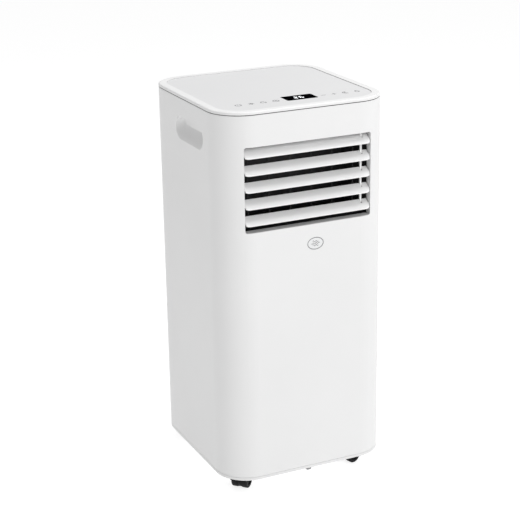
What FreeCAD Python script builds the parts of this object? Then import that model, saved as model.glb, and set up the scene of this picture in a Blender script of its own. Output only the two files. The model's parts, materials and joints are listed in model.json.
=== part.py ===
"""Compact portable air conditioner: one FreeCAD model, one STEP file for each sub-part.

Frame: millimetres, +Z up, the front face looks along -Y, +X to the right seen from behind the
front face. The origin is on the floor under the middle of the cabinet.
"""
import FreeCAD, Part
import math
import os

from FreeCAD import Vector

# ---- Driving dimensions ----
WIDTH = 320.0            # X, over the side walls
DEPTH = 326.0            # Y, over the front and rear walls
HEIGHT = 696.0           # Z, floor to the rim of the top
CORNER_R = 60.0          # vertical corners of the cabinet
GROUND_GAP = 26.0        # floor to the underside of the base
FOOT_LOW = 16.0          # underside of the bumper block
WALL = 3.0               # outer shells
FRONT_Y = -DEPTH / 2
BACK_Y = DEPTH / 2

BASE_TOP = GROUND_GAP + 5.0      # flush strip of the base pan
SHELL_BOTTOM = BASE_TOP + 0.5
TOP_BOTTOM = HEIGHT - 5.0        # underside of the top cover's rim
SHELL_TOP = TOP_BOTTOM - 1.4
SPLIT_Y = 130.0                  # front shell meets the rear cover
SPLIT_GAP = 0.4

# air outlet and its louvres
OUTLET_HALF = 119.5
OUTLET_LOW = 487.2
OUTLET_HIGH = 635.7
OUTLET_CORNER_R = 4.0
RECESS_HIGH = 644.0      # ceiling of the recess behind the front wall
RECESS_BACK = -146.0
DUCT_WALL = 2.5
LOUVRE_COUNT = 5
LOUVRE_PITCH = 29.25
LOUVRE_FIRST_DROP = 20.2         # outlet's top edge down to the first blade's lip
LOUVRE_HALF_RUN = 7.9            # half of the blade's depth
LOUVRE_HALF_RISE = 6.3           # half of its rise to the rear
LOUVRE_THICK = 2.2
LOUVRE_SAG = 0.8                 # crown of the blade over its chord
LOUVRE_HALF_LENGTH = OUTLET_HALF - 1.4
LOUVRE_PIVOT_Y = -154.2
LOUVRE_LIP_TO_PIVOT = 7.9
PIVOT_PIN_R = 1.5
PIVOT_HOLE_R = 1.55
LOUVRE_CORNER_R = 7.0            # front corners of a blade, seen from above
LINK_X = 106.0
LINK_WIDTH = 3.0                 # along X
LINK_DEPTH = 3.0                 # along Y
LINK_PIN_Y = 6.2                 # link pin, from the blade's pivot
LINK_PIN_Z = 4.85
LINK_PIN_R = 1.0
LINK_HOLE_R = 1.08

# badge
BADGE_INSET = 0.15         # its face lies under the front face by this much

# finger guard behind the louvres
GUARD_FRONT = -132.0
GUARD_DEPTH = 3.0
GUARD_BARS_X = (-100.0, -60.0, -20.0, 20.0, 60.0, 100.0)

# top
RIM_WIDTH = 14.5
PANEL_GAP = 0.8
PANEL_SEAT = HEIGHT - 3.5
PANEL_TOP = HEIGHT - 1.2
DISPLAY_X = 14.0
DISPLAY_Y = -98.0
DISPLAY_SIZE = (58.0, 32.0)

# side grips
GRIP_Y = -23.0
GRIP_Z = 636.0
GRIP_SIZE = (122.0, 42.0)
GRIP_DEPTH = 14.0
GRIP_INNER_SIZE = (100.0, 14.0)
GRIP_RISE = 11.0         # how far the inner end sits above the mouth

# rear
FILTER_HALF = 112.0
UPPER_FILTER = (424.0, 650.0)
LOWER_FILTER = (62.0, 236.0)
FILTER_SEAT_Y = 157.5
EXHAUST_Z = 316.0
EXHAUST_R = 65.0
COLLAR_R = 72.0
COLLAR_START = 140.0
GLAND_X = 88.0
GLAND_Z = 262.0
CORD_R = 3.6
UPPER_DRAIN = (-90.0, 408.0)
LOWER_DRAIN = (0.0, 43.0)
DRAIN_BORE_R = 5.0
SCREW_X = 70.0
SCREW_Z = (43.0, 408.0, 684.0)
SCREW_R = 1.9

# casters: name, x, y, direction in which the wheels trail
CASTERS = (
    ("fl", -112.0, -118.0, 223.0),
    ("fr", 112.0, -118.0, 197.0),
    ("rl", -112.0, 118.0, 240.0),
    ("rr", 112.0, 118.0, 290.0),
)
CASTER_WHEEL_R = 15.0
CASTER_TRAIL = 12.0
CASTER_HALF_WIDTH = 15.0
CASTER_POCKET_R = 35.5
CASTER_POCKET_TOP = 38.5
STEM_R = 4.0
STEM_TOP = 54.0

# inside
TRAY_Z = 396.0
COIL_FRONT = 104.0
COIL_BACK = 134.0
COIL_HALF = 118.0
COIL_ROWS = (112.0, 126.0)
COIL_PASSES = 8
COIL_TUBE_R = 3.5
FIN_COUNT = 40
FIN_THICK = 0.8
EVAPORATOR = (402.0, 640.0)
EVAPORATOR_FIRST_Z = 418.0
EVAPORATOR_PITCH = 28.0
CONDENSER = (62.0, 236.0)
CONDENSER_FIRST_Z = 218.0
CONDENSER_PITCH = -20.0
SCROLL_FRONT = 32.0
SCROLL_BACK = 96.0
SCROLL_WALL = 2.0
SCROLL_STEP = 8.0
SCROLL_R = 78.0
WHEEL_R = 67.0
WHEEL_FRONT = 38.0
WHEEL_BACK = 88.0
WHEEL_BLADES = 30
SHAFT_R = 4.0
MOTOR_R = 34.0
MOTOR_FRONT = -34.0
UPPER_FAN = (10.0, 502.0)
UPPER_SCROLL_TOP = OUTLET_LOW + 110.0
LOWER_FAN = (48.0, 150.0)
LOWER_SCROLL_TOP = 240.0
COMPRESSOR_XY = (-82.0, -38.0)
COMPRESSOR_R = 46.0
ACCUMULATOR_XY = (-8.0, -60.0)
ACCUMULATOR_R = 19.0
PIPE_X = -136.0
FIT = 0.02               # radial gap of a pressed fit


# ---- Shape helpers ----
def box(x0, x1, y0, y1, z0, z1):
    return Part.makeBox(x1 - x0, y1 - y0, z1 - z0, Vector(x0, y0, z0))


def rod_x(y, z, radius, x0, x1):
    return Part.makeCylinder(radius, x1 - x0, Vector(x0, y, z), Vector(1, 0, 0))


def rod_y(x, z, radius, y0, y1):
    return Part.makeCylinder(radius, y1 - y0, Vector(x, y0, z), Vector(0, 1, 0))


def rod_z(x, y, radius, z0, z1):
    return Part.makeCylinder(radius, z1 - z0, Vector(x, y, z0), Vector(0, 0, 1))


def fuse(*shapes):
    return shapes[0].multiFuse(list(shapes[1:])).removeSplitter()


def rounded_block(x0, x1, y0, y1, z0, z1, radius, along=Vector(0, 0, 1)):
    """A block with its four edges along one axis rounded; they are upright unless told otherwise."""
    block = box(x0, x1, y0, y1, z0, z1)
    edges = []
    for edge in block.Edges:
        start, end = (vertex.Point for vertex in edge.Vertexes)
        if (end - start).cross(along).Length < 0.001:
            edges.append(edge)
    return block.makeFillet(radius, edges)


def cabinet_block(inset, z0, z1):
    """The cabinet's plan outline, brought in on all sides by inset."""
    half_x = WIDTH / 2 - inset
    half_y = DEPTH / 2 - inset
    return rounded_block(-half_x, half_x, -half_y, half_y, z0, z1, CORNER_R - inset)


def extruded(edges, direction):
    return Part.Face(Part.Wire(edges)).extrude(direction)


def bent_rod(points, bend_r, radius):
    """A round rod along straight runs joined by tangent arcs."""
    spots = [Vector(*point) for point in points]
    edges = []
    start = spots[0]
    for before, corner, after in zip(spots, spots[1:], spots[2:]):
        inward = (corner - before).normalize()
        outward = (after - corner).normalize()
        half_turn = inward.getAngle(outward) / 2
        setback = bend_r * math.tan(half_turn)
        arc_start = corner - inward * setback
        arc_end = corner + outward * setback
        to_centre = (outward - inward).normalize()
        arc_middle = corner + to_centre * (bend_r / math.cos(half_turn) - bend_r)
        edges.append(Part.LineSegment(start, arc_start).toShape())
        edges.append(Part.Arc(arc_start, arc_middle, arc_end).toShape())
        start = arc_end
    edges.append(Part.LineSegment(start, spots[-1]).toShape())
    section = Part.Wire(Part.makeCircle(radius, spots[0], spots[1] - spots[0]))
    return Part.Wire(edges).makePipeShell([section], True, True)


def turned(profile, x, y):
    """A solid of revolution about an upright axis; profile holds (radius, z) points."""
    points = [Vector(x + radius, y, z) for radius, z in profile]
    outline = Part.makePolygon(points + points[:1])
    return Part.Face(outline).revolve(Vector(x, y, 0), Vector(0, 0, 1), 360)


def export(name, shape):
    if not shape.isValid():
        print("INVALID", name)
    print(f"{name:24s} solids {len(shape.Solids):3d}  volume {shape.Volume / 1000:9.2f} cm3")
    shape.exportStep(f"parts/{name}.step")


# ---- Louvres ----
def louvre_pivot(index):
    lip = OUTLET_HIGH - LOUVRE_FIRST_DROP - LOUVRE_PITCH * index
    return LOUVRE_PIVOT_Y, lip + LOUVRE_LIP_TO_PIVOT


def louvre(index):
    """A crowned blade on two end pins, notched at the rear for the link's pin."""
    pivot_y, pivot_z = louvre_pivot(index)
    half_chord = math.hypot(LOUVRE_HALF_RUN, LOUVRE_HALF_RISE)
    along = Vector(0, LOUVRE_HALF_RUN, LOUVRE_HALF_RISE) / half_chord
    across = Vector(0, -LOUVRE_HALF_RISE, LOUVRE_HALF_RUN) / half_chord
    start_x = -LOUVRE_HALF_LENGTH
    middle = Vector(start_x, pivot_y, pivot_z) - across * (LOUVRE_SAG / 2)
    lip = middle - along * half_chord
    tail = middle + along * half_chord
    half_thick = across * (LOUVRE_THICK / 2)
    crown = across * LOUVRE_SAG
    cap = along * (LOUVRE_THICK / 2)
    outline = [
        Part.Arc(lip + half_thick, middle + crown + half_thick, tail + half_thick).toShape(),
        Part.Arc(tail + half_thick, tail + cap, tail - half_thick).toShape(),
        Part.Arc(tail - half_thick, middle + crown - half_thick, lip - half_thick).toShape(),
        Part.Arc(lip - half_thick, lip - cap, lip + half_thick).toShape(),
    ]
    blade = extruded(outline, Vector(2 * LOUVRE_HALF_LENGTH, 0, 0))
    plan = rounded_block(-LOUVRE_HALF_LENGTH, LOUVRE_HALF_LENGTH, FRONT_Y - 1, FRONT_Y + 60,
                         pivot_z - 20, pivot_z + 20, LOUVRE_CORNER_R)
    blade = blade.common(plan).common(cabinet_block(0.2, pivot_z - 20, pivot_z + 20))
    half_notch = LINK_WIDTH / 2 + 0.4
    notch = box(LINK_X - half_notch, LINK_X + half_notch, pivot_y + 0.5, pivot_y + 20,
                pivot_z - 20, pivot_z + 20)
    blade = blade.cut(notch)
    pieces = [rod_x(pivot_y + LINK_PIN_Y, pivot_z + LINK_PIN_Z, LINK_PIN_R,
                    LINK_X - half_notch - 2, LINK_X + half_notch + 2)]
    for side in (-1, 1):
        pin = sorted((side * (LOUVRE_HALF_LENGTH - 5), side * (OUTLET_HALF + 2.2)))
        pieces.append(rod_x(pivot_y, pivot_z, PIVOT_PIN_R, *pin))
    return fuse(blade, *pieces)


def louvre_link():
    """The upright bar that joins the five blades at their rear."""
    pins = []
    for index in range(LOUVRE_COUNT):
        pivot_y, pivot_z = louvre_pivot(index)
        pins.append((pivot_y + LINK_PIN_Y, pivot_z + LINK_PIN_Z))
    pin_y = pins[0][0]
    bar = box(LINK_X - LINK_WIDTH / 2, LINK_X + LINK_WIDTH / 2, pin_y - LINK_DEPTH / 2,
              pin_y + LINK_DEPTH / 2, pins[-1][1] - 3, pins[0][1] + 3)
    for y, z in pins:
        bar = bar.cut(rod_x(y, z, LINK_HOLE_R, LINK_X - 5, LINK_X + 5))
    return bar


# ---- Shells ----
def grip_outline(x, size, rise, skin):
    """Outline with half-round ends in an upright plane at x, grown by skin."""
    half_z = size[1] / 2 + skin
    straight = (size[0] - size[1]) / 2
    z = GRIP_Z + rise
    front = GRIP_Y - straight
    back = GRIP_Y + straight
    front_low = Vector(x, front, z - half_z)
    front_high = Vector(x, front, z + half_z)
    back_low = Vector(x, back, z - half_z)
    back_high = Vector(x, back, z + half_z)
    return Part.Wire([
        Part.LineSegment(front_low, back_low).toShape(),
        Part.Arc(back_low, Vector(x, back + half_z, z), back_high).toShape(),
        Part.LineSegment(back_high, front_high).toShape(),
        Part.Arc(front_high, Vector(x, front - half_z, z), front_low).toShape(),
    ])


def grip_scoop(side, skin):
    """A scoop that slopes in from its lower edge to a finger ledge; skin makes the cup around it."""
    mouth_depth = WALL if skin else -1.0
    mouth = grip_outline(side * (WIDTH / 2 - mouth_depth), GRIP_SIZE, 0, skin)
    inner = grip_outline(side * (WIDTH / 2 - GRIP_DEPTH - skin), GRIP_INNER_SIZE, GRIP_RISE, skin)
    return Part.makeLoft([mouth, inner], True, True)


def badge_block(gap, y0, y1):
    """The oval badge; gap makes its pocket in the front wall."""
    oval = Part.Ellipse(Vector(0, 0, 0), 16 + gap, 11.5 + gap).toShape()
    oval.rotate(Vector(0, 0, 0), Vector(1, 0, 0), 90)
    oval.translate(Vector(11, y0, 452))
    return extruded([oval], Vector(0, y1 - y0, 0))


def front_panel():
    shell = cabinet_block(0, SHELL_BOTTOM, SHELL_TOP).cut(cabinet_block(WALL, 0, HEIGHT))
    shell = shell.cut(box(-WIDTH, WIDTH, SPLIT_Y, WIDTH, 0, HEIGHT))
    recess = box(-OUTLET_HALF - DUCT_WALL, OUTLET_HALF + DUCT_WALL, FRONT_Y + 2, RECESS_BACK,
                 OUTLET_LOW - DUCT_WALL, RECESS_HIGH + DUCT_WALL)
    recess = recess.common(cabinet_block(WALL / 2, 0, HEIGHT))
    cups = [grip_scoop(side, 2.5) for side in (-1, 1)]
    shell = fuse(shell, recess, *cups)
    shell = shell.cut(rounded_block(-OUTLET_HALF, OUTLET_HALF, FRONT_Y - 1, FRONT_Y + 12,
                                    OUTLET_LOW, OUTLET_HIGH, OUTLET_CORNER_R, Vector(0, 1, 0)))
    hollow = box(-OUTLET_HALF, OUTLET_HALF, FRONT_Y, RECESS_BACK + 1, OUTLET_LOW, RECESS_HIGH)
    shell = shell.cut(hollow.common(cabinet_block(WALL, 0, HEIGHT)))
    for side in (-1, 1):
        shell = shell.cut(grip_scoop(side, 0))
    for index in range(LOUVRE_COUNT):
        pivot_y, pivot_z = louvre_pivot(index)
        shell = shell.cut(rod_x(pivot_y, pivot_z, PIVOT_HOLE_R, -OUTLET_HALF - 5, OUTLET_HALF + 5))
    return shell.cut(badge_block(0.15, FRONT_Y - 1, FRONT_Y + 1))


def filter_pocket(z0, z1):
    """Ledge round a filter opening, on the inside of the rear wall."""
    border = FILTER_HALF + 3
    ledge = box(-border, border, FILTER_SEAT_Y - 4, BACK_Y - 2, z0 - 3, z1 + 3)
    return ledge.common(cabinet_block(WALL / 2, z0 - 3, z1 + 3))


def screw_spots():
    return [(x, z) for z in SCREW_Z for x in (-SCREW_X, SCREW_X)]


def rear_cover():
    shell = cabinet_block(0, SHELL_BOTTOM, SHELL_TOP).cut(cabinet_block(WALL, 0, HEIGHT))
    shell = shell.cut(box(-WIDTH, WIDTH, -WIDTH, SPLIT_Y + SPLIT_GAP, 0, HEIGHT))
    shell = fuse(shell, filter_pocket(*UPPER_FILTER), filter_pocket(*LOWER_FILTER))
    for z0, z1 in (UPPER_FILTER, LOWER_FILTER):
        shell = shell.cut(box(-FILTER_HALF, FILTER_HALF, FILTER_SEAT_Y, BACK_Y + 1, z0, z1))
        shell = shell.cut(box(-FILTER_HALF + 5, FILTER_HALF - 5, FILTER_SEAT_Y - 5, BACK_Y, z0 + 5, z1 - 5))
    holes = [
        rod_y(0, EXHAUST_Z, COLLAR_R + 0.4, BACK_Y - 10, BACK_Y + 1),
        rod_y(GLAND_X, GLAND_Z, 8 + FIT, BACK_Y - 10, BACK_Y + 1),
        rod_y(*UPPER_DRAIN, 8.4, BACK_Y - 10, BACK_Y + 1),
        rod_y(*LOWER_DRAIN, 8.4, BACK_Y - 10, BACK_Y + 1),
    ]
    for x, z in screw_spots():
        holes.append(rod_y(x, z, SCREW_R + 0.2, BACK_Y - 10, BACK_Y + 1))
        holes.append(rod_y(x, z, 4.5, BACK_Y - 2, BACK_Y + 1))
    for hole in holes:
        shell = shell.cut(hole)
    return shell


def screw_boss(x, z):
    return rod_y(x, z, 5, BACK_Y - 17, BACK_Y - 3.5)


def screw_bore(x, z):
    return rod_y(x, z, SCREW_R + FIT, BACK_Y - 18, BACK_Y)


def shell_screws():
    """Six pan-head cross-recess screws that hold the rear cover."""
    screws = []
    for x, z in screw_spots():
        head = rod_y(x, z, 4, BACK_Y - 2, BACK_Y - 0.2)
        shank = rod_y(x, z, SCREW_R, BACK_Y - 15, BACK_Y - 2)
        screw = fuse(head, shank)
        for half_x, half_z in ((2.2, 0.4), (0.4, 2.2)):
            slot = box(x - half_x, x + half_x, BACK_Y - 1.4, BACK_Y, z - half_z, z + half_z)
            screw = screw.cut(slot)
        screws.append(screw)
    return Part.makeCompound(screws)


def top_cover():
    """Rim with a rounded outer edge, the seat of the touch panel and a skirt inside the shells."""
    plate = cabinet_block(0, TOP_BOTTOM, HEIGHT)
    top_edges = [edge for edge in plate.Edges if edge.BoundBox.ZMin > HEIGHT - 0.1]
    plate = plate.makeFillet(2.8, top_edges)
    plate = plate.cut(cabinet_block(RIM_WIDTH, PANEL_SEAT, HEIGHT + 1))
    skirt = cabinet_block(WALL + 0.5, TOP_BOTTOM - 13, TOP_BOTTOM)
    skirt = skirt.cut(cabinet_block(WALL + 2.5, TOP_BOTTOM - 14, TOP_BOTTOM + 1))
    bosses = [screw_boss(x, SCREW_Z[2]) for x in (-SCREW_X, SCREW_X)]
    cover = fuse(plate, skirt, *bosses)
    for x in (-SCREW_X, SCREW_X):
        cover = cover.cut(screw_bore(x, SCREW_Z[2]))
    window = display_block(-6, PANEL_SEAT - 3, PANEL_SEAT + 1)
    return cover.cut(window)


def top_seal():
    """Dark gasket ring in the seam between the shells and the top cover."""
    ring = cabinet_block(1.2, SHELL_TOP, TOP_BOTTOM)
    return ring.cut(cabinet_block(WALL + 0.4, SHELL_TOP - 1, TOP_BOTTOM + 1))


def display_block(gap, z0, z1):
    half_x = DISPLAY_SIZE[0] / 2 + gap
    half_y = DISPLAY_SIZE[1] / 2 + gap
    return rounded_block(DISPLAY_X - half_x, DISPLAY_X + half_x, DISPLAY_Y - half_y,
                         DISPLAY_Y + half_y, z0, z1, 3)


def touch_panel():
    panel = cabinet_block(RIM_WIDTH + PANEL_GAP, PANEL_SEAT, PANEL_TOP)
    return panel.cut(display_block(0.2, PANEL_SEAT - 1, PANEL_TOP + 1))


def display_board():
    board = box(-62, 82, -128, -68, TOP_BOTTOM - 12, TOP_BOTTOM - 10.4)
    holder = display_block(-8, TOP_BOTTOM - 10.4, PANEL_SEAT - 0.1)
    return fuse(board, holder)


# ---- Base and casters ----
def base_pan():
    plate = cabinet_block(0, GROUND_GAP, BASE_TOP)
    wall = cabinet_block(WALL + 0.5, BASE_TOP, 50).cut(cabinet_block(WALL + 3, 0, 60))
    pieces = [wall]
    for _, x, y, _ in CASTERS:
        pocket = rod_z(x, y, CASTER_POCKET_R + 2.5, BASE_TOP, CASTER_POCKET_TOP + 2.5)
        pieces.append(pocket.common(cabinet_block(WALL + 0.5, BASE_TOP, STEM_TOP)))
        pieces.append(rod_z(x, y, 9, BASE_TOP, STEM_TOP + 2))
    for x in (-60, 60):
        pieces.append(box(x - 10, x + 10, 106, 132, BASE_TOP, CONDENSER[0]))
    fan_x, fan_z = LOWER_FAN
    scroll_low = fan_z - SCROLL_STEP / 2 - SCROLL_R - SCROLL_STEP
    pieces.append(box(fan_x - 18, fan_x + 10, 40, 90, BASE_TOP, scroll_low))
    pieces += [screw_boss(x, SCREW_Z[0]) for x in (-SCREW_X, SCREW_X)]
    spout_x, spout_z = LOWER_DRAIN
    pieces.append(rod_y(spout_x, spout_z, 8, 146, BACK_Y - 1.5))
    pan = fuse(plate, *pieces)
    for _, x, y, _ in CASTERS:
        pan = pan.cut(rod_z(x, y, CASTER_POCKET_R, 0, CASTER_POCKET_TOP))
        pan = pan.cut(rod_z(x, y, STEM_R + FIT, 0, STEM_TOP))
    for x in (-SCREW_X, SCREW_X):
        pan = pan.cut(screw_bore(x, SCREW_Z[0]))
    return pan.cut(rod_y(spout_x, spout_z, DRAIN_BORE_R, 140, BACK_Y))


def caster_stems():
    return Part.makeCompound([rod_z(x, y, STEM_R, 31, STEM_TOP) for _, x, y, _ in CASTERS])


def caster_hood():
    """Hood of a twin-wheel caster at the origin: spine between the wheels, fender and stem boss."""
    axle_z = CASTER_WHEEL_R
    spine = Part.makeCylinder(14, 5.2, Vector(CASTER_TRAIL, -2.6, axle_z), Vector(0, 1, 0))
    arch = Part.makeCylinder(CASTER_WHEEL_R + 3, 2 * CASTER_HALF_WIDTH,
                             Vector(CASTER_TRAIL, -CASTER_HALF_WIDTH, axle_z), Vector(0, 1, 0))
    arch = arch.cut(Part.makeCylinder(CASTER_WHEEL_R + 1, 2 * CASTER_HALF_WIDTH + 2,
                                      Vector(CASTER_TRAIL, -CASTER_HALF_WIDTH - 1, axle_z),
                                      Vector(0, 1, 0)))
    arch = arch.cut(box(-60, 60, -20, 20, -10, axle_z + 3))
    web = box(CASTER_TRAIL - 17, CASTER_TRAIL + 17, -2.6, 2.6, axle_z + 3, 30)
    web = web.common(Part.makeCylinder(CASTER_WHEEL_R + 2, 6, Vector(CASTER_TRAIL, -3, axle_z),
                                       Vector(0, 1, 0)))
    boss = rod_z(0, 0, 7, 29.8, CASTER_POCKET_TOP - 2)
    hood = fuse(spine, arch, web, boss)
    hood = hood.cut(rod_z(0, 0, STEM_R + 0.06, 30.8, 60))
    return hood.cut(Part.makeCylinder(2.06, 60, Vector(CASTER_TRAIL, -30, axle_z), Vector(0, 1, 0)))


def caster_wheels():
    """Two wheels pressed on one axle, each with a rounded tread and a dished hub face."""
    axle_z = CASTER_WHEEL_R
    pieces = [Part.makeCylinder(2, 2 * CASTER_HALF_WIDTH - 2,
                                Vector(CASTER_TRAIL, -CASTER_HALF_WIDTH + 1, axle_z), Vector(0, 1, 0))]
    for side in (-1, 1):
        start = Vector(CASTER_TRAIL, side * 3.0, axle_z)
        disc = Part.makeCylinder(CASTER_WHEEL_R, CASTER_HALF_WIDTH - 3, start, Vector(0, side, 0))
        rims = [edge for edge in disc.Edges if edge.Closed]
        disc = disc.makeFillet(2, rims)
        dish = Part.makeCylinder(9.5, 2, Vector(CASTER_TRAIL, side * (CASTER_HALF_WIDTH - 2), axle_z),
                                 Vector(0, side, 0))
        pieces.append(disc.cut(dish))
    return fuse(*pieces)


def at_caster(shape, x, y, heading):
    placed = shape.copy()
    placed.rotate(Vector(0, 0, 0), Vector(0, 0, 1), heading)
    placed.translate(Vector(x, y, 0))
    return placed


def front_foot():
    """Small bumper block under the front edge that stops the unit tipping over a step."""
    foot = rounded_block(-3.5, 7.5, -153, -142, FOOT_LOW, GROUND_GAP, 4)
    return foot.makeChamfer(1.5, [edge for edge in foot.Edges if edge.BoundBox.ZMax < FOOT_LOW + 0.1])


# ---- Rear pieces ----
def filter_frame(z0, z1):
    """Frame with horizontal slats and two upright ribs."""
    half = FILTER_HALF - 0.5
    low = z0 + 0.5
    high = z1 - 0.5
    front = FILTER_SEAT_Y
    back = BACK_Y - 1.5
    frame = box(-half, half, front, back, low, high)
    frame = frame.cut(box(-half + 7, half - 7, front - 1, back + 1, low + 7, high - 7))
    slats = int((high - low - 14) / 9)
    pitch = (high - low - 14) / slats
    pieces = []
    for index in range(1, slats):
        z = low + 7 + pitch * index
        pieces.append(box(-half + 6, half - 6, front + 0.8, back - 0.4, z - 1.6, z + 1.6))
    for x in (-37, 37):
        pieces.append(box(x - 2, x + 2, front, back - 1, low + 6, high - 6))
    frame = fuse(frame, *pieces)
    finger = box(-16, 16, back - 2, back + 1, high - 5, high - 2)
    return frame.cut(finger)


def filter_mesh():
    half = FILTER_HALF - 5.5
    return box(-half, half, FILTER_SEAT_Y - 1.2, FILTER_SEAT_Y, UPPER_FILTER[0] + 5.5, UPPER_FILTER[1] - 5.5)


def exhaust_collar():
    """Round hose collar on a square flange that closes the exhaust duct."""
    collar = rod_y(0, EXHAUST_Z, COLLAR_R, COLLAR_START, BACK_Y)
    half = COLLAR_R + 4
    flange = box(-half, half, COLLAR_START, COLLAR_START + 3, EXHAUST_Z - half, EXHAUST_Z + half)
    return fuse(collar, flange).cut(rod_y(0, EXHAUST_Z, EXHAUST_R, COLLAR_START - 1, BACK_Y + 1))


def cord_gland():
    """Bush that the mains lead passes through, with a flange inside the rear wall."""
    bush = rod_y(GLAND_X, GLAND_Z, 8, BACK_Y - 11, BACK_Y)
    flange = rod_y(GLAND_X, GLAND_Z, 11, BACK_Y - 7, BACK_Y - WALL - 0.05)
    return fuse(bush, flange).cut(rod_y(GLAND_X, GLAND_Z, CORD_R, BACK_Y - 12, BACK_Y + 1))


def drain_plug(x, z):
    """Rubber plug in a drain spout, with a head to pull it out by."""
    stem = rod_y(x, z, DRAIN_BORE_R - 0.05, BACK_Y - 14, BACK_Y - 1.4)
    head = rod_y(x, z, 7.6, BACK_Y - 1.4, BACK_Y)
    return fuse(stem, head)


# ---- Air path ----
def volute(centre, radius, outlet_right, outlet_top, y0, y1):
    """Spiral casing block: three quarter arcs stepping round a square, outlet straight up on the left."""
    centre_x, centre_z = centre
    half = SCROLL_STEP / 2
    spots = ((centre_x + half, centre_z - half), (centre_x - half, centre_z - half),
             (centre_x - half, centre_z + half))
    tongue = math.degrees(math.acos((outlet_right - spots[0][0]) / radius))

    def on_arc(quarter, degrees):
        x, z = spots[quarter]
        reach = radius + SCROLL_STEP * quarter
        angle = math.radians(degrees)
        return Vector(x + reach * math.cos(angle), y0, z + reach * math.sin(angle))

    arcs = ((0, tongue, 0), (1, 0, -90), (2, -90, -180))
    edges = []
    for quarter, first, last in arcs:
        middle = (first + last) / 2
        arc = Part.Arc(on_arc(quarter, first), on_arc(quarter, middle), on_arc(quarter, last))
        edges.append(arc.toShape())
    left = on_arc(2, -180)
    corners = [left, Vector(left.x, y0, outlet_top), Vector(outlet_right, y0, outlet_top), on_arc(0, tongue)]
    edges += [Part.LineSegment(a, b).toShape() for a, b in zip(corners, corners[1:])]
    return extruded(edges, Vector(0, y1 - y0, 0))


def scroll(centre, outlet_top):
    """Fan scroll with a bell-mouth inlet at the rear and the motor's hole at the front."""
    centre_x, centre_z = centre
    outlet_right = centre_x - 40
    outer = volute(centre, SCROLL_R, outlet_right, outlet_top, SCROLL_FRONT, SCROLL_BACK)
    inner = volute(centre, SCROLL_R - SCROLL_WALL, outlet_right - SCROLL_WALL, outlet_top + 1,
                   SCROLL_FRONT + SCROLL_WALL, SCROLL_BACK - SCROLL_WALL)
    casing = outer.cut(inner)
    mouth = rod_y(centre_x, centre_z, 56, SCROLL_BACK - SCROLL_WALL - 3, SCROLL_BACK)
    casing = fuse(casing, mouth)
    casing = casing.cut(rod_y(centre_x, centre_z, 53, SCROLL_BACK - 20, SCROLL_BACK + 1))
    return casing.cut(rod_y(centre_x, centre_z, 12, SCROLL_FRONT - 1, SCROLL_FRONT + 10))


def fan_wheel(centre):
    """Forward-curved blower wheel: back disc, hub, a ring of curved blades and an end ring."""
    x, z = centre
    inner_r = 57.0
    disc = rod_y(x, z, WHEEL_R, WHEEL_FRONT, WHEEL_FRONT + 2.5)
    hub = rod_y(x, z, 12, WHEEL_FRONT, WHEEL_FRONT + 20)
    ring = rod_y(x, z, WHEEL_R, WHEEL_BACK - 4, WHEEL_BACK)
    ring = ring.cut(rod_y(x, z, inner_r + 1, WHEEL_BACK - 5, WHEEL_BACK + 1))

    def spot(radius, degrees):
        angle = math.radians(degrees)
        return Vector(x + radius * math.cos(angle), WHEEL_FRONT + 2, z + radius * math.sin(angle))

    outer_r = WHEEL_R - 0.5
    middle_r = (inner_r + outer_r) / 2
    blade = extruded([
        Part.Arc(spot(inner_r, 0), spot(middle_r, 0.4), spot(outer_r, 5)).toShape(),
        Part.LineSegment(spot(outer_r, 5), spot(outer_r, 3.9)).toShape(),
        Part.Arc(spot(outer_r, 3.9), spot(middle_r, -0.7), spot(inner_r, -1.2)).toShape(),
        Part.LineSegment(spot(inner_r, -1.2), spot(inner_r, 0)).toShape(),
    ], Vector(0, WHEEL_BACK - 3 - WHEEL_FRONT, 0))
    blades = []
    for index in range(WHEEL_BLADES):
        copy = blade.copy()
        copy.rotate(Vector(x, 0, z), Vector(0, 1, 0), 360.0 / WHEEL_BLADES * index)
        blades.append(copy)
    wheel = fuse(disc, hub, ring, *blades)
    return wheel.cut(rod_y(x, z, SHAFT_R + FIT, WHEEL_FRONT - 1, WHEEL_FRONT + 30))


def fan_shaft(centre):
    x, z = centre
    return rod_y(x, z, SHAFT_R, MOTOR_FRONT + 2, WHEEL_FRONT + 24)


def motor(centre):
    """Fan motor: stator drum, two end bells and four mounting lugs against the scroll."""
    x, z = centre
    back = SCROLL_FRONT
    drum = rod_y(x, z, MOTOR_R, MOTOR_FRONT + 8, back - 8)
    bells = [
        rod_y(x, z, MOTOR_R - 5, MOTOR_FRONT, MOTOR_FRONT + 8),
        rod_y(x, z, MOTOR_R - 5, back - 8, back),
    ]
    lugs = []
    for degrees in (45, 135, 225, 315):
        lug_x = x + (MOTOR_R + 4) * math.cos(math.radians(degrees))
        lug_z = z + (MOTOR_R + 4) * math.sin(math.radians(degrees))
        lugs.append(rod_y(lug_x, lug_z, 6, back - 14, back))
    return fuse(drum, *bells, *lugs).cut(rod_y(x, z, SHAFT_R + 0.06, MOTOR_FRONT - 1, back + 1))


def duct_profile(skin):
    """L-shaped air path seen from the side, from the fan's outlet forwards to the louvres."""
    low = OUTLET_LOW - skin
    high = RECESS_HIGH + skin
    shelf = UPPER_SCROLL_TOP + DUCT_WALL - skin
    front = RECESS_BACK if skin else RECESS_BACK - 1
    back_low = -50 + skin
    back_high = SCROLL_BACK - DUCT_WALL + skin
    corners = [(front, low), (back_low, low), (back_low, shelf), (back_high, shelf),
               (back_high, high), (front, high)]
    half = OUTLET_HALF + skin
    points = [Vector(-half, y, z) for y, z in corners]
    return Part.Face(Part.makePolygon(points + points[:1])).extrude(Vector(2 * half, 0, 0))


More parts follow.
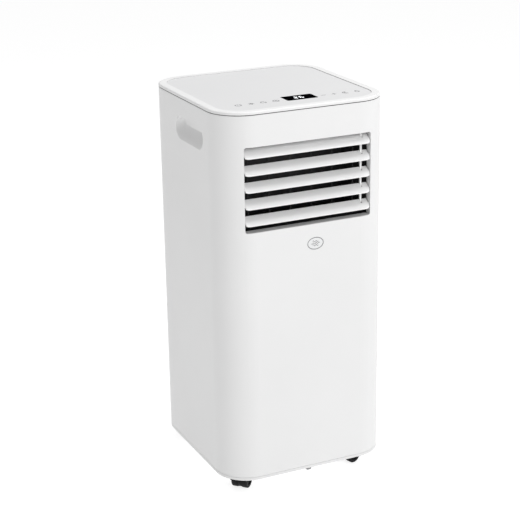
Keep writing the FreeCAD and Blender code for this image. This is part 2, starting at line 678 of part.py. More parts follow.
def outlet_duct():
    duct = duct_profile(DUCT_WALL).cut(duct_profile(0))
    x = UPPER_FAN[0]
    left = x - SCROLL_STEP / 2 - SCROLL_R - 2 * SCROLL_STEP + SCROLL_WALL
    inlet = box(left, x - 40 - SCROLL_WALL, SCROLL_FRONT + SCROLL_WALL, SCROLL_BACK - SCROLL_WALL - 1,
                UPPER_SCROLL_TOP - 1, UPPER_SCROLL_TOP + DUCT_WALL + 1)
    return duct.cut(inlet)


def outlet_guard():
    """Dark finger guard in the mouth of the duct: four border strips, upright bars and a cross bar."""
    half = OUTLET_HALF - 0.3
    low = OUTLET_LOW + 0.3
    high = RECESS_HIGH - 0.3
    front = GUARD_FRONT
    back = front + GUARD_DEPTH
    border = 4.0
    strips = [
        box(-half, half, front, back, low, low + border),
        box(-half, half, front, back, high - border, high),
        box(-half, -half + border, front, back, low + border, high - border),
        box(half - border, half, front, back, low + border, high - border),
    ]
    middle = (front + back) / 2
    bars = [box(x - 1, x + 1, middle, back, low + border, high - border) for x in GUARD_BARS_X]
    height = (low + high) / 2
    bars.append(box(-half + border, half - border, front, middle, height - 1.5, height + 1.5))
    return Part.makeCompound(strips + bars)


def exhaust_duct():
    """Square duct from the lower fan's outlet to the collar's flange, open at the rear."""
    half = COLLAR_R + 4
    low = EXHAUST_Z - half
    high = EXHAUST_Z + half
    duct = box(-half, half, SCROLL_FRONT, COLLAR_START, low, high)
    duct = duct.cut(box(-half + 2, half - 2, SCROLL_FRONT + 2, COLLAR_START + 1, low + 2, high - 2))
    x = LOWER_FAN[0]
    left = x - SCROLL_STEP / 2 - SCROLL_R - 2 * SCROLL_STEP + SCROLL_WALL
    return duct.cut(box(left, x - 40 - SCROLL_WALL, SCROLL_FRONT + SCROLL_WALL, SCROLL_BACK - SCROLL_WALL,
                        low - 1, low + 3))


def drain_tray():
    """Tray that parts the cold side from the warm side and carries the evaporator."""
    tray = cabinet_block(WALL + 1.5, TRAY_Z, TRAY_Z + 18)
    tray = tray.cut(cabinet_block(WALL + 4, TRAY_Z + 3, TRAY_Z + 19))
    pieces = [box(-COIL_HALF, COIL_HALF, y, y + 2, TRAY_Z, EVAPORATOR[0]) for y in (107, 130)]
    fan_x, fan_z = UPPER_FAN
    scroll_low = fan_z - SCROLL_STEP / 2 - SCROLL_R - SCROLL_STEP
    pieces.append(box(fan_x - 18, fan_x + 10, 40, 90, TRAY_Z, scroll_low))
    pieces += [screw_boss(x, SCREW_Z[1]) for x in (-SCREW_X, SCREW_X)]
    spout_x, spout_z = UPPER_DRAIN
    pieces.append(rod_y(spout_x, spout_z, 8, 146, BACK_Y - 1.5))
    tray = fuse(tray, *pieces)
    for x in (-SCREW_X, SCREW_X):
        tray = tray.cut(screw_bore(x, SCREW_Z[1]))
    tray = tray.cut(rod_z(PIPE_X, COIL_ROWS[0], 6, TRAY_Z - 1, TRAY_Z + 5))
    tray = tray.cut(rod_z(PIPE_X, COIL_ROWS[1], 3, TRAY_Z - 1, TRAY_Z + 5))
    return tray.cut(rod_y(spout_x, spout_z, DRAIN_BORE_R, 140, BACK_Y))


# ---- Refrigeration circuit ----
def coil_heights(first_z, pitch):
    return [first_z + pitch * index for index in range(COIL_PASSES)]


def coil_fins(z0, z1, heights):
    """Upright aluminium fins with a hole for every pass of the tube."""
    fin = box(0, FIN_THICK, COIL_FRONT, COIL_BACK, z0, z1)
    holes = [rod_x(y, z, COIL_TUBE_R + FIT, -1, FIN_THICK + 1) for y in COIL_ROWS for z in heights]
    fin = fin.cut(Part.makeCompound(holes))
    pitch = (2 * COIL_HALF - FIN_THICK) / (FIN_COUNT - 1)
    fins = []
    for index in range(FIN_COUNT):
        copy = fin.copy()
        copy.translate(Vector(-COIL_HALF + pitch * index, 0, 0))
        fins.append(copy)
    return Part.makeCompound(fins)


def half_ring(centre, ring_r, start, axis):
    """Half of a ring of tube: start is the side it begins on, axis the ring's own axis."""
    ring = Part.makeCircle(COIL_TUBE_R, centre + start * ring_r, axis.cross(start))
    return Part.Face(Part.Wire(ring)).revolve(centre, axis, 180)


def coil_tubes(heights):
    """Serpentine tube: one row up or down, across to the other row and back again."""
    end = COIL_HALF + 3
    pieces = []
    half_pitch = abs(heights[1] - heights[0]) / 2
    for y in COIL_ROWS:
        pieces += [rod_x(y, z, COIL_TUBE_R, -end, end) for z in heights]
        for index in range(COIL_PASSES - 1):
            side = 1 if index % 2 == 0 else -1
            middle = (heights[index] + heights[index + 1]) / 2
            centre = Vector(side * end, y, middle)
            pieces.append(half_ring(centre, half_pitch, Vector(0, 0, 1), Vector(0, side, 0)))
    centre = Vector(-end, (COIL_ROWS[0] + COIL_ROWS[1]) / 2, heights[-1])
    pieces.append(half_ring(centre, (COIL_ROWS[1] - COIL_ROWS[0]) / 2, Vector(0, 1, 0), Vector(0, 0, 1)))
    return fuse(*pieces)


def compressor():
    """Welded steel can with domed ends, a three-lug foot and a terminal cover."""
    x, y = COMPRESSOR_XY
    r = COMPRESSOR_R
    can = turned([(0, 58), (r * 0.6, 60), (r * 0.9, 66), (r, 76), (r, 218), (r * 0.9, 229), (r * 0.6, 237),
                  (r * 0.25, 241), (0, 241)], x, y)
    seam = rod_z(x, y, r + 1.5, 206, 212)
    foot = rod_z(x, y, r - 6, 52, 60)
    pieces = [seam, foot, rod_z(x, y, 5, 236, 250), rod_z(x + 14, y + 22, 12, 225, 252)]
    for lug_x, lug_y in grommet_spots():
        lug = box(-14, 14, 0, 62, 52, 55)
        angle = math.degrees(math.atan2(lug_y - y, lug_x - x)) - 90
        lug.rotate(Vector(0, 0, 0), Vector(0, 0, 1), angle)
        lug.translate(Vector(x, y, 0))
        pieces.append(lug)
    body = fuse(can, *pieces)
    for lug_x, lug_y in grommet_spots():
        body = body.cut(rod_z(lug_x, lug_y, 5, 40, 57))
    return body


def grommet_spots():
    x, y = COMPRESSOR_XY
    spots = []
    for degrees in (90, 210, 330):
        angle = math.radians(degrees)
        spots.append((x + 55 * math.cos(angle), y + 55 * math.sin(angle)))
    return spots


def compressor_grommets():
    """Three waisted rubber mounts between the base pan and the compressor's foot."""
    profile = [(2.5, BASE_TOP), (9, BASE_TOP), (9, 37), (7, 40), (7, 44), (9, 47), (9, 52), (2.5, 52)]
    return Part.makeCompound([turned(profile, x, y) for x, y in grommet_spots()])


def accumulator():
    x, y = ACCUMULATOR_XY
    r = ACCUMULATOR_R
    profile = [(0, 90), (6, 90), (r * 0.8, 98), (r, 106), (r, 196), (r * 0.8, 206), (6, 214), (0, 214)]
    return turned(profile, x, y)


def suction_pipe():
    """Evaporator to accumulator, and the elbow from the accumulator into the compressor."""
    row_y = COIL_ROWS[0]
    x, y = ACCUMULATOR_XY
    line = bent_rod([(-COIL_HALF - 3, row_y, EVAPORATOR_FIRST_Z), (PIPE_X, row_y, EVAPORATOR_FIRST_Z),
                     (PIPE_X, row_y, 320), (PIPE_X, 10, 320), (x, y, 320), (x, y, 214)], 13, 5)
    to_can = Vector(COMPRESSOR_XY[0] - x, COMPRESSOR_XY[1] - y, 0)
    reach = to_can.Length - COMPRESSOR_R + 0.5
    end = Vector(x, y, 78) + to_can.normalize() * reach
    elbow = bent_rod([(x, y, 90), (x, y, 78), (end.x, end.y, end.z)], 9, 4)
    return Part.makeCompound([line, elbow.cut(compressor())])


def discharge_pipe():
    x, y = COMPRESSOR_XY
    row_y = COIL_ROWS[0]
    return bent_rod([(x, y, 250), (x, y, 292), (-140, 0, 292), (-140, row_y, 292),
                     (-140, row_y, CONDENSER_FIRST_Z), (-COIL_HALF - 3, row_y, CONDENSER_FIRST_Z)], 12, 3.5)


def filter_drier():
    return turned([(0, 240), (3.5, 240), (8, 248), (8, 282), (3.5, 290), (0, 290)], PIPE_X, COIL_ROWS[1])


def capillary_tube():
    """Liquid line from the condenser to the drier, and the capillary on to the evaporator."""
    row_y = COIL_ROWS[1]
    liquid = bent_rod([(-COIL_HALF - 3, row_y, CONDENSER_FIRST_Z), (PIPE_X, row_y, CONDENSER_FIRST_Z),
                       (PIPE_X, row_y, 240)], 10, 3)
    capillary = bent_rod([(PIPE_X, row_y, 290), (PIPE_X, row_y, EVAPORATOR_FIRST_Z),
                          (-COIL_HALF - 3, row_y, EVAPORATOR_FIRST_Z)], 10, 1.5)
    return Part.makeCompound([liquid, capillary])


# ---- Electrical pieces ----
def control_box():
    """Open-fronted box for the control board and the run capacitor."""
    outer = box(88, 140, -125, -58, 60, 230)
    return outer.cut(box(90, 138, -126, -60, 62, 228))


def control_board():
    board = box(94, 95.6, -122, -62, 66, 224)
    relays = [box(95.6, 107, -110, -92, z, z + 16) for z in (150, 176, 200)]
    return fuse(board, *relays)


def run_capacitor():
    """Film capacitor with a crimped rim and two tabs."""
    can = turned([(0, 62), (14, 62), (14, 132), (15, 133), (15, 136), (0, 136)], 120, -84)
    return fuse(can, box(115, 116, -88, -80, 136, 144), box(124, 125, -88, -80, 136, 144))


def float_switch():
    """Level switch in the pan: a collared float on a short post."""
    profile = [
        (0, BASE_TOP), (9, BASE_TOP), (9, 33), (3, 33), (3, 37), (8, 38),
        (8, 47), (3, 48), (3, 52), (0, 52),
    ]
    return turned(profile, 140, 60)


def main():
    os.makedirs("parts", exist_ok=True)
    export("front_panel", front_panel())
    export("rear_cover", rear_cover())
    export("top_cover", top_cover())
    export("top_seal", top_seal())
    export("touch_panel", touch_panel())
    export("display_window", display_block(0, PANEL_SEAT, PANEL_TOP))
    export("display_board", display_board())
    export("badge", badge_block(0, FRONT_Y + BADGE_INSET, FRONT_Y + 0.95))
    export("shell_screws", shell_screws())
    export("base_pan", base_pan())
    export("caster_stems", caster_stems())
    hood = caster_hood()
    wheels = caster_wheels()
    for name, x, y, heading in CASTERS:
        export(f"caster_{name}_hood", at_caster(hood, x, y, heading))
        export(f"caster_{name}_wheels", at_caster(wheels, x, y, heading))
    export("front_foot", front_foot())
    for index in range(LOUVRE_COUNT):
        export(f"louvre_{index + 1}", louvre(index))
    export("louvre_link", louvre_link())
    export("outlet_duct", outlet_duct())
    export("outlet_guard", outlet_guard())
    export("upper_filter_frame", filter_frame(*UPPER_FILTER))
    export("upper_filter_mesh", filter_mesh())
    export("lower_filter_frame", filter_frame(*LOWER_FILTER))
    export("exhaust_collar", exhaust_collar())
    export("exhaust_duct", exhaust_duct())
    export("cord_gland", cord_gland())
    export("upper_drain_cap", drain_plug(*UPPER_DRAIN))
    export("lower_drain_plug", drain_plug(*LOWER_DRAIN))
    export("upper_scroll", scroll(UPPER_FAN, UPPER_SCROLL_TOP))
    export("lower_scroll", scroll(LOWER_FAN, LOWER_SCROLL_TOP))
    for level, centre in (("upper", UPPER_FAN), ("lower", LOWER_FAN)):
        export(f"{level}_wheel", fan_wheel(centre))
        export(f"{level}_shaft", fan_shaft(centre))
        export(f"{level}_motor", motor(centre))
    export("drain_tray", drain_tray())
    upper_heights = coil_heights(EVAPORATOR_FIRST_Z, EVAPORATOR_PITCH)
    lower_heights = coil_heights(CONDENSER_FIRST_Z, CONDENSER_PITCH)
    export("evaporator_fins", coil_fins(*EVAPORATOR, upper_heights))
    export("evaporator_tubes", coil_tubes(upper_heights))
    export("condenser_fins", coil_fins(*CONDENSER, lower_heights))
    export("condenser_tubes", coil_tubes(lower_heights))
    export("compressor", compressor())
    export("compressor_grommets", compressor_grommets())
    export("accumulator", accumulator())
    export("suction_pipe", suction_pipe())
    export("discharge_pipe", discharge_pipe())
    export("filter_drier", filter_drier())
    export("capillary_tube", capillary_tube())
    export("control_box", control_box())
    export("control_board", control_board())
    export("run_capacitor", run_capacitor())
    export("float_switch", float_switch())


main()
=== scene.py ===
"""Looks of the portable air conditioner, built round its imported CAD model.

Metres, +Z up, front to -Y.
"""
import json
import math

import bmesh
import bpy
from mathutils import Matrix, Vector


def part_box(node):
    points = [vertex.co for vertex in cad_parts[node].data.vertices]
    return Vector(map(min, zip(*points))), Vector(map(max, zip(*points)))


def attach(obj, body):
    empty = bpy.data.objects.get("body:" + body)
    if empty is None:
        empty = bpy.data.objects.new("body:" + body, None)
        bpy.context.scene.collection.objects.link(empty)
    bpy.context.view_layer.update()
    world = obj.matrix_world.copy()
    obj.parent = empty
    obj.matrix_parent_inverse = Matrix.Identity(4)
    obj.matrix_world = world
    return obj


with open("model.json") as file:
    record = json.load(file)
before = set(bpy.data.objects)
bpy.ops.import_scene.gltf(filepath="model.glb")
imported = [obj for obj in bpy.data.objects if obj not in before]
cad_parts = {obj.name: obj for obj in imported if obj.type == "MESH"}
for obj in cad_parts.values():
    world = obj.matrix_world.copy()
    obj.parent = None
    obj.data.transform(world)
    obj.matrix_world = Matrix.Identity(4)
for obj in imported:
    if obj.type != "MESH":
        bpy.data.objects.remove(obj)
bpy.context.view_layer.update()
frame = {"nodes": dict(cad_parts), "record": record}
NODES = frame["nodes"]

# ---- Camera and light ----
CAMERA_PLACE = Vector((-1.090, -2.311, 1.254))
CAMERA_AIM = Vector((-0.0168, 0.0053, 0.3745))
CAMERA_ROLL = math.radians(-0.92)
CAMERA_LENS = 102.3
CAMERA_CLIP = (0.05, 400.0)    # the far end takes in the whole floor
WHITE = (1.0, 1.0, 1.0)
SKY_STRENGTH = 0.381
KEY_POWER = 33.2
KEY_PLACE = (0.9, -2.9, 1.9)
KEY_AIM = (0, 0, 0.4)
KEY_SIZE = (1.8, 1.8)
OVERHEAD_POWER = 48.5
OVERHEAD_PLACE = (0.5, 0.1, 2.9)
OVERHEAD_AIM = (0, 0, 0)
OVERHEAD_SIZE = (2.2, 2.2)


def add_camera():
    data = bpy.data.cameras.new("camera")
    data.lens = CAMERA_LENS
    data.clip_start, data.clip_end = CAMERA_CLIP
    camera = bpy.data.objects.new("camera", data)
    bpy.context.scene.collection.objects.link(camera)
    look = (CAMERA_AIM - CAMERA_PLACE).to_track_quat("-Z", "Y").to_matrix().to_4x4()
    roll = Matrix.Rotation(CAMERA_ROLL, 4, "Z")
    camera.matrix_world = Matrix.Translation(CAMERA_PLACE) @ look @ roll
    bpy.context.scene.camera = camera


def add_softbox(name, place, aim, size, power):
    data = bpy.data.lights.new(name, "AREA")
    data.shape = "RECTANGLE"
    data.size, data.size_y = size
    data.energy = power
    light = bpy.data.objects.new(name, data)
    bpy.context.scene.collection.objects.link(light)
    light.location = place
    light.rotation_euler = (Vector(aim) - Vector(place)).to_track_quat("-Z", "Y").to_euler()


def add_studio():
    """Even white surroundings, brighter from the front and above than from the left."""
    world = bpy.data.worlds.new("studio")
    bpy.context.scene.world = world
    world.use_nodes = True
    sky = world.node_tree.nodes["Background"]
    sky.inputs["Color"].default_value = (*WHITE, 1.0)
    sky.inputs["Strength"].default_value = SKY_STRENGTH
    add_softbox("key", KEY_PLACE, KEY_AIM, KEY_SIZE, KEY_POWER)
    add_softbox("overhead", OVERHEAD_PLACE, OVERHEAD_AIM, OVERHEAD_SIZE, OVERHEAD_POWER)
    scene = bpy.context.scene
    scene.view_settings.view_transform = "Standard"
    scene.view_settings.look = "None"


# ---- Materials ----
NOISE_MIDDLE = (0.3, 0.7)    # most of a noise texture's values lie between these


class Shader:
    """A node material that starts as a Principled surface in object coordinates."""

    def __init__(self, name, color, roughness, **sockets):
        self.material = bpy.data.materials.new(name)
        self.material.use_nodes = True
        self.tree = self.material.node_tree
        self.surface = self.tree.nodes["Principled BSDF"]
        self.surface.inputs["Base Color"].default_value = (*color, 1.0)
        self.surface.inputs["Roughness"].default_value = roughness
        for socket, value in sockets.items():
            self.surface.inputs[socket.replace("_", " ")].default_value = value
        self.color = color
        self.roughness = roughness
        self.place = self.tree.nodes.new("ShaderNodeTexCoord").outputs["Object"]

    def node(self, kind, **settings):
        made = self.tree.nodes.new(kind)
        for key, value in settings.items():
            setattr(made, key, value)
        return made

    def link(self, source, target):
        self.tree.links.new(source, target)

    def noise(self, scale, detail=2.0, stretch=(1, 1, 1)):
        mapping = self.node("ShaderNodeMapping")
        mapping.inputs["Scale"].default_value = stretch
        self.link(self.place, mapping.inputs["Vector"])
        noise = self.node("ShaderNodeTexNoise")
        noise.inputs["Scale"].default_value = scale
        noise.inputs["Detail"].default_value = detail
        self.link(mapping.outputs["Vector"], noise.inputs["Vector"])
        return noise.outputs["Fac"]

    def spread(self, value, low, high):
        """Maps a texture's middle range to low..high."""
        fit = self.node("ShaderNodeMapRange")
        fit.inputs["From Min"].default_value = NOISE_MIDDLE[0]
        fit.inputs["From Max"].default_value = NOISE_MIDDLE[1]
        fit.inputs["To Min"].default_value = low
        fit.inputs["To Max"].default_value = high
        self.link(value, fit.inputs["Value"])
        return fit.outputs["Result"]

    def tint(self, value, dark, light):
        """Colour that wanders between two shades of the base colour."""
        mix = self.node("ShaderNodeMix", data_type="RGBA")
        mix.inputs["A"].default_value = (*[c * dark for c in self.color], 1.0)
        mix.inputs["B"].default_value = (*[min(c * light, 1.0) for c in self.color], 1.0)
        self.link(self.spread(value, 0.0, 1.0), mix.inputs["Factor"])
        self.link(mix.outputs["Result"], self.surface.inputs["Base Color"])

    def gloss(self, value, swing):
        self.link(self.spread(value, self.roughness - swing, self.roughness + swing),
                  self.surface.inputs["Roughness"])

    def relief(self, value, depth, strength=1.0):
        bump = self.node("ShaderNodeBump")
        bump.inputs["Distance"].default_value = depth
        bump.inputs["Strength"].default_value = strength
        self.link(value, bump.inputs["Height"])
        self.link(bump.outputs["Normal"], self.surface.inputs["Normal"])

    def glow(self, color, strength):
        self.surface.inputs["Emission Color"].default_value = (*color, 1.0)
        self.surface.inputs["Emission Strength"].default_value = strength


def moulded_plastic(name, color, roughness, grain=1400, depth=0.00002, **sockets):
    """Injection-moulded plastic: spark-eroded grain, faint flow shading and uneven gloss."""
    shader = Shader(name, color, roughness, **sockets)
    shader.tint(shader.noise(5, 3), 0.985, 1.015)
    shader.gloss(shader.noise(60, 4), 0.03)
    shader.relief(shader.noise(grain, 2), depth)
    return shader.material


def satin_plate(name, color, roughness):
    """Lacquered plate: even colour, faint wiping marks in its gloss and almost no relief."""
    shader = Shader(name, color, roughness)
    shader.tint(shader.noise(4, 2), 0.99, 1.01)
    shader.gloss(shader.noise(45, 5, (1, 5, 1)), 0.03)
    shader.relief(shader.noise(9, 1), 0.00001, 0.3)
    return shader.material


def smooth_gloss(name, color, roughness, **sockets):
    """Polished plastic: even colour with faint dust and handling marks in its gloss."""
    shader = Shader(name, color, roughness, **sockets)
    shader.tint(shader.noise(14, 4), 0.97, 1.03)
    shader.gloss(shader.noise(220, 6), 0.025)
    shader.relief(shader.noise(25, 2), 0.00001)
    return shader.material


def drawn_metal(name, color, roughness, stretch=(1, 30, 1)):
    """Rolled or turned metal with fine lines along one direction and a little staining."""
    shader = Shader(name, color, roughness, Metallic=1.0)
    shader.tint(shader.noise(30, 5), 0.82, 1.08)
    shader.gloss(shader.noise(160, 4, stretch), 0.10)
    shader.relief(shader.noise(500, 2, stretch), 0.00001)
    return shader.material


def badge_face():
    """Pale silver lacquer with fine flakes."""
    shader = Shader("badge_silver", (0.78, 0.785, 0.79), 0.34, Metallic=0.2)
    shader.tint(shader.noise(3000, 2), 0.96, 1.04)
    shader.gloss(shader.noise(400, 3), 0.04)
    shader.relief(shader.noise(2600, 1), 0.000005)
    return shader.material


def copper_tube():
    """Copper with brown tarnish in patches."""
    shader = Shader("copper", (0.72, 0.34, 0.20), 0.32, Metallic=1.0)
    shader.tint(shader.noise(55, 6), 0.45, 1.1)
    shader.gloss(shader.noise(120, 4), 0.12)
    shader.relief(shader.noise(700, 2), 0.00001)
    return shader.material


def soft_rubber(name, color, roughness, **sockets):
    """Moulded rubber: matt, slightly dusty, with a pebbled skin."""
    shader = Shader(name, color, roughness, **sockets)
    shader.tint(shader.noise(90, 5), 0.7, 1.5)
    shader.gloss(shader.noise(140, 3), 0.08)
    shader.relief(shader.noise(1800, 3), 0.00004)
    return shader.material


NET_THREAD_SCALE = 260.0


def woven_net():
    """Nylon net: light threads both ways over dark gaps, from two crossing waves."""
    shader = Shader("net", (0.30, 0.31, 0.33), 0.6)
    waves = []
    for axis in ("X", "Z"):
        wave = shader.node("ShaderNodeTexWave", wave_type="BANDS", bands_direction=axis)
        wave.inputs["Scale"].default_value = NET_THREAD_SCALE
        shader.link(shader.place, wave.inputs["Vector"])
        waves.append(wave.outputs["Fac"])
    weave = shader.node("ShaderNodeMath", operation="MAXIMUM")
    shader.link(waves[0], weave.inputs[0])
    shader.link(waves[1], weave.inputs[1])
    shader.tint(weave.outputs["Value"], 0.12, 1.3)
    shader.relief(weave.outputs["Value"], 0.0002)
    return shader.material


BOARD_GREEN = (0.02, 0.16, 0.06)
BOARD_LIGHTER_GREEN = (0.03, 0.20, 0.08)
BOARD_TRACE = (0.05, 0.30, 0.12)
BOARD_TRACE_SCALE = 90.0


def printed_board():
    """Green solder mask with lighter traces under it."""
    shader = Shader("board", BOARD_GREEN, 0.35)
    brick = shader.node("ShaderNodeTexBrick")
    brick.inputs["Scale"].default_value = BOARD_TRACE_SCALE
    brick.inputs["Color1"].default_value = (*BOARD_GREEN, 1.0)
    brick.inputs["Color2"].default_value = (*BOARD_LIGHTER_GREEN, 1.0)
    brick.inputs["Mortar"].default_value = (*BOARD_TRACE, 1.0)
    shader.link(shader.place, brick.inputs["Vector"])
    shader.link(brick.outputs["Color"], shader.surface.inputs["Base Color"])
    shader.relief(brick.outputs["Fac"], 0.0001)
    return shader.material


def glowing(name, color, strength):
    """Lit display segment seen through the dark window, with a little unevenness."""
    shader = Shader(name, color, 0.4)
    shader.glow(color, strength)
    shader.tint(shader.noise(300, 2), 0.92, 1.05)
    return shader.material


FLOOR_GREY = (0.35, 0.35, 0.35)
FLOOR_GLOW = 0.82


def floor_material():
    """Matt floor with a glow of its own, so that it comes out white like the background."""
    shader = Shader("floor", FLOOR_GREY, 0.9)
    shader.glow(WHITE, FLOOR_GLOW)
    shader.tint(shader.noise(2, 3), 0.995, 1.005)
    return shader.material


def make_materials():
    """One material for each slot of the record."""
    return {
        "shell_white": moulded_plastic("shell_white", (0.82, 0.82, 0.82), 0.42),
        "panel_white": satin_plate("panel_white", (0.74, 0.74, 0.745), 0.36),
        "window_black": smooth_gloss("window_black", (0.001, 0.001, 0.0015), 0.45,
                                     Specular_IOR_Level=0.0),
        "louvre_white": moulded_plastic("louvre_white", (0.92, 0.92, 0.92), 0.38),
        "base_white": moulded_plastic("base_white", (0.80, 0.80, 0.80), 0.45),
        "badge_silver": badge_face(),
        "duct_black": moulded_plastic("duct_black", (0.012, 0.012, 0.013), 0.7),
        "caster_black": moulded_plastic("caster_black", (0.007, 0.007, 0.008), 0.5,
                                        Specular_IOR_Level=0.2),
        "wheel_black": soft_rubber("wheel_black", (0.006, 0.006, 0.007), 0.6,
                                   Specular_IOR_Level=0.2),
        "foot_grey": soft_rubber("foot_grey", (0.20, 0.20, 0.205), 0.7),
        "steel": drawn_metal("steel", (0.60, 0.60, 0.61), 0.34),
        "fin_aluminium": drawn_metal("fin_aluminium", (0.80, 0.81, 0.82), 0.30, (1, 1, 40)),
        "copper": copper_tube(),
        "compressor_black": smooth_gloss("compressor_black", (0.012, 0.012, 0.012), 0.30),
        "motor_metal": drawn_metal("motor_metal", (0.50, 0.51, 0.52), 0.42),
        "fan_plastic": moulded_plastic("fan_plastic", (0.03, 0.03, 0.033), 0.5),
        "scroll_plastic": moulded_plastic("scroll_plastic", (0.45, 0.45, 0.45), 0.55),
        "tray_plastic": moulded_plastic("tray_plastic", (0.55, 0.55, 0.55), 0.5),
        "rubber_black": soft_rubber("rubber_black", (0.012, 0.012, 0.012), 0.75),
        "board_green": printed_board(),
        "capacitor_metal": drawn_metal("capacitor_metal", (0.72, 0.73, 0.74), 0.30,
                                       (1, 1, 30)),
        "mesh_grey": woven_net(),
    }


# ---- CAD nodes ----
SHARP_ANGLE = math.radians(32)
EDGE_ROUNDING = {
    "front_panel": 0.0007, "rear_cover": 0.0006, "top_cover": 0.0005, "touch_panel": 0.0004,
    "display_window": 0.0003, "base_pan": 0.0006, "front_foot": 0.0006, "outlet_guard": 0.0004,
    "exhaust_collar": 0.0008, "upper_filter_frame": 0.0004, "lower_filter_frame": 0.0004,
    "louvre_link": 0.0004, "cord_gland": 0.0006, "upper_drain_cap": 0.0007,
    "lower_drain_plug": 0.0007, "badge": 0.0002,
}
CASTER_ROUNDING = 0.0005
ROUNDING_SEGMENTS = 2


def finish_node(node, material):
    """Gives a CAD node its material, smooth shading between sharp edges and, where it is named
    above or belongs to a caster, a small rounding."""
    piece = NODES[node]
    mesh = piece.data
    mesh.materials.clear()
    mesh.materials.append(material)
    mesh.polygons.foreach_set("use_smooth", [True] * len(mesh.polygons))
    mesh.set_sharp_from_angle(angle=SHARP_ANGLE)
    width = CASTER_ROUNDING if node.startswith("caster") else EDGE_ROUNDING.get(node)
    if width:
        bevel = piece.modifiers.new("edge_rounding", "BEVEL")
        bevel.width = width
        bevel.segments = ROUNDING_SEGMENTS
        bevel.limit_method = "ANGLE"
        bevel.angle_limit = SHARP_ANGLE
        bevel.harden_normals = True


def finish_nodes(materials):
    for part in frame["record"]["subparts"]:
        finish_node(part["node"], materials[part["material_slot"]])


# ---- Small printed and lit details ----
def lying(u, v, height):
    return u, v, height


def facing_front(u, v, height):
    return u, -height, v


def flat_piece(name, loops, heights, material, body, place=lying):
    """Thin raised pieces from closed loops of points, between two heights over their plane."""
    base, top = heights
    mesh = bpy.data.meshes.new(name)
    build = bmesh.new()
    for loop in loops:
        low = [build.verts.new(place(u, v, base)) for u, v in loop]
        high = [build.verts.new(place(u, v, top)) for u, v in loop]
        build.faces.new(high)
        build.faces.new(low[::-1])
        for index in range(len(loop)):
            after = (index + 1) % len(loop)
            build.faces.new((low[index], low[after], high[after], high[index]))
    bmesh.ops.recalc_face_normals(build, faces=build.faces)
    build.to_mesh(mesh)
    build.free()
    mesh.materials.append(material)
    piece = bpy.data.objects.new(name, mesh)
    bpy.context.scene.collection.objects.link(piece)
    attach(piece, body)


def stroke(points, width):
    """A ribbon outline of constant width along a line of (x, y) points with square ends."""
    left, right = [], []
    for index, point in enumerate(points):
        before = Vector(points[max(index - 1, 0)])
        after = Vector(points[min(index + 1, len(points) - 1)])
        along = (after - before).normalized()
        side = Vector((-along.y, along.x)) * width / 2
        left.append(tuple(Vector(point) + side))
        right.append(tuple(Vector(point) - side))
    return left + right[::-1]


def arc_points(centre, radius, first, last, steps=16):
    spots = []
    for step in range(steps + 1):
        angle = math.radians(first + (last - first) * step / steps)
        spots.append((centre[0] + radius * math.cos(angle), centre[1] + radius * math.sin(angle)))
    return spots


def oval_halves(centre, radii, width, steps=16):
    """An oval ring of constant width as two ribbons."""
    halves = []
    for first in (0, 180):
        unit = arc_points((0, 0), 1, first, first + 180, steps)
        line = [(centre[0] + radii[0] * u, centre[1] + radii[1] * v) for u, v in unit]
        halves.append(stroke(line, width))
    return halves


# Each icon is a list of strokes of width w, drawn round (x, y) with a radius of about r.
def power_icon(x, y, r, w):
    ring = stroke(arc_points((x, y), r, 120, 420), w)
    bar = stroke([(x, y + 0.2 * r), (x, y + 1.15 * r)], w)
    return [ring, bar]


def clock_icon(x, y, r, w):
    long_hand = stroke([(x, y), (x, y + 0.6 * r)], w)
    short_hand = stroke([(x + w / 2, y), (x + 0.5 * r, y)], w)
    return oval_halves((x, y), (r, r), w) + [long_hand, short_hand]


def fan_icon(x, y, r, w):
    blades = []
    for first in (90, 210, 330):
        turn = math.radians(first)
        middle = (x + 0.5 * r * math.cos(turn), y + 0.5 * r * math.sin(turn))
        blades.append(stroke(arc_points(middle, 0.5 * r, first - 90, first + 120, 10), w))
    return blades


def snow_icon(x, y, r, w):
    arms = []
    for first in (90, 30, -30):
        step = (r * math.cos(math.radians(first)), r * math.sin(math.radians(first)))
        arms.append(stroke([(x - step[0], y - step[1]), (x + step[0], y + step[1])], w))
    return arms


def moon_icon(x, y, r, w):
    outside = stroke(arc_points((x, y), r, 60, 300), w)
    inside = stroke(arc_points((x + 0.55 * r, y), 0.9 * r, 105, 255), w)
    return [outside, inside]


def drop_icon(x, y, r, w):
    bowl = arc_points((x, y - 0.3 * r), 0.7 * r, 160, 380)
    tip = (x, y + 1.1 * r)
    return [stroke(bowl, w), stroke([bowl[0], tip], w), stroke([bowl[-1], tip], w)]


def minus_icon(x, y, r, w):
    return [stroke([(x - 0.8 * r, y), (x + 0.8 * r, y)], w)]


def plus_icon(x, y, r, w):
    upper = stroke([(x, y + w / 2), (x, y + 0.8 * r)], w)
    lower = stroke([(x, y - 0.8 * r), (x, y - w / 2)], w)
    return minus_icon(x, y, r, w) + [upper, lower]


# name, place across the panel, drawing
ICONS = (
    ("key_power", -0.103, power_icon), ("key_mode", -0.079, snow_icon),
    ("key_fan", -0.057, fan_icon), ("key_timer", -0.033, clock_icon),
    ("key_minus", 0.057, minus_icon), ("key_plus", 0.0775, plus_icon),
    ("key_sleep", 0.100, moon_icon), ("key_dry", 0.122, drop_icon),
)
ICON_Y = -0.104
ICON_RADIUS = 0.0054
ICON_STROKE = 0.0013
PRINT_HEIGHT = 0.00012
PRINT_GREY = (0.13, 0.13, 0.135)
PRINT_GRAIN = 2500


def add_icons(material):
    """A row of printed key symbols either side of the display."""
    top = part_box("touch_panel")[1].z
    heights = (top, top + PRINT_HEIGHT)
    for name, x, draw in ICONS:
        loops = draw(x, ICON_Y, ICON_RADIUS, ICON_STROKE)
        flat_piece(name, loops, heights, material, "cabinet")


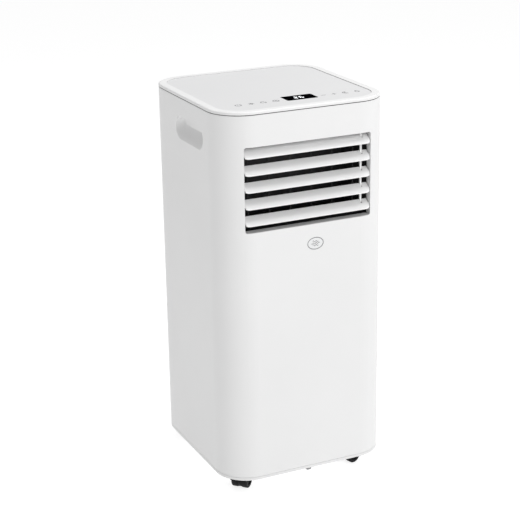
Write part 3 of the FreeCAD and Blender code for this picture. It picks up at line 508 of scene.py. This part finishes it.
# both ends of each segment, in segment lengths across and up from the digit's lower left
SEGMENTS = {
    "a": ((0, 2), (1, 2)), "b": ((1, 1), (1, 2)), "c": ((1, 0), (1, 1)), "d": ((0, 0), (1, 0)),
    "e": ((0, 0), (0, 1)), "f": ((0, 1), (0, 2)), "g": ((0, 1), (1, 1)),
}
DIGITS = {"2": "abged", "6": "afgedc"}
DISPLAYED = "26"
SEGMENT_SIZE = (0.0055, 0.0058)
SEGMENT_STROKE = 0.0016
SEGMENT_GAP = 0.0004
FIRST_DIGIT_X = -0.0095    # from the window's middle
DIGIT_PITCH = 0.0105
DIGIT_WHITE = (0.85, 0.87, 0.9)
DIGIT_GLOW = 1.6


def digit_loops(symbol, x, y):
    loops = []
    for key in DIGITS[symbol]:
        start, end = (Vector((x + across * SEGMENT_SIZE[0], y + up * SEGMENT_SIZE[1]))
                      for across, up in SEGMENTS[key])
        along = (end - start).normalized()
        inset = along * (SEGMENT_STROKE / 2 + SEGMENT_GAP)
        loops.append(stroke([tuple(start + inset), tuple(end - inset)], SEGMENT_STROKE))
    return loops


def add_digits(material):
    low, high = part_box("display_window")
    middle = (low + high) / 2
    heights = (high.z, high.z + PRINT_HEIGHT)
    for index, symbol in enumerate(DISPLAYED):
        x = middle.x + FIRST_DIGIT_X + index * DIGIT_PITCH
        loops = digit_loops(symbol, x, middle.y - SEGMENT_SIZE[1])
        flat_piece(f"digit_{index + 1}", loops, heights, material, "cabinet")


BADGE_PRINT_DEPTH = 0.0001     # how far its print reaches into the badge
BADGE_PRINT_LIFT = 0.00004     # and stands off it, still inside the CAD model's box
BADGE_RING = 0.0011
BADGE_DARK = (0.16, 0.16, 0.165)
OVAL_STEPS = 32
WAVE_LENGTH = 0.0052
WAVE_RISE = 0.0012
WAVE_STEPS = 12
WAVE_STROKE = 0.0008
WAVE_SPACING = 0.0036
WAVE_ROWS = ((1, 2), (0, 3), (-1, 2))    # rows above the badge's middle, number of crests


def wave_points(x, z, crests):
    """A level sine line of so many crests with its middle at (x, z)."""
    steps = WAVE_STEPS * crests
    spots = []
    for step in range(steps + 1):
        along = step / steps - 0.5
        rise = WAVE_RISE * math.sin(2 * math.pi * crests * along)
        spots.append((x + along * crests * WAVE_LENGTH, z + rise))
    return spots


def add_badge(material):
    """Dark oval outline and three plain waves printed on the badge."""
    low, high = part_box("badge")
    x = (low.x + high.x) / 2
    z = (low.z + high.z) / 2
    radii = ((high.x - low.x) / 2 - BADGE_RING, (high.z - low.z) / 2 - BADGE_RING)
    ring = oval_halves((x, z), radii, BADGE_RING, OVAL_STEPS)
    waves = []
    for row, crests in WAVE_ROWS:
        waves.append(stroke(wave_points(x, z + row * WAVE_SPACING, crests), WAVE_STROKE))
    heights = (-low.y - BADGE_PRINT_DEPTH, -low.y + BADGE_PRINT_LIFT)
    for name, loops in (("badge_ring", ring), ("badge_waves", waves)):
        flat_piece(name, loops, heights, material, "cabinet", facing_front)


# ---- Floor ----
FLOOR_SIZE = 160.0    # its edge stays out of the low views


def add_floor():
    bpy.ops.mesh.primitive_plane_add(size=FLOOR_SIZE, location=(0, 0, 0))
    floor = bpy.context.object
    floor.name = "floor"
    floor.data.materials.append(floor_material())


def main():
    add_camera()
    add_studio()
    add_floor()
    materials = make_materials()
    finish_nodes(materials)
    add_icons(moulded_plastic("print_grey", PRINT_GREY, 0.5, grain=PRINT_GRAIN))
    add_digits(glowing("digit_white", DIGIT_WHITE, DIGIT_GLOW))
    add_badge(drawn_metal("badge_dark", BADGE_DARK, 0.36))


main()
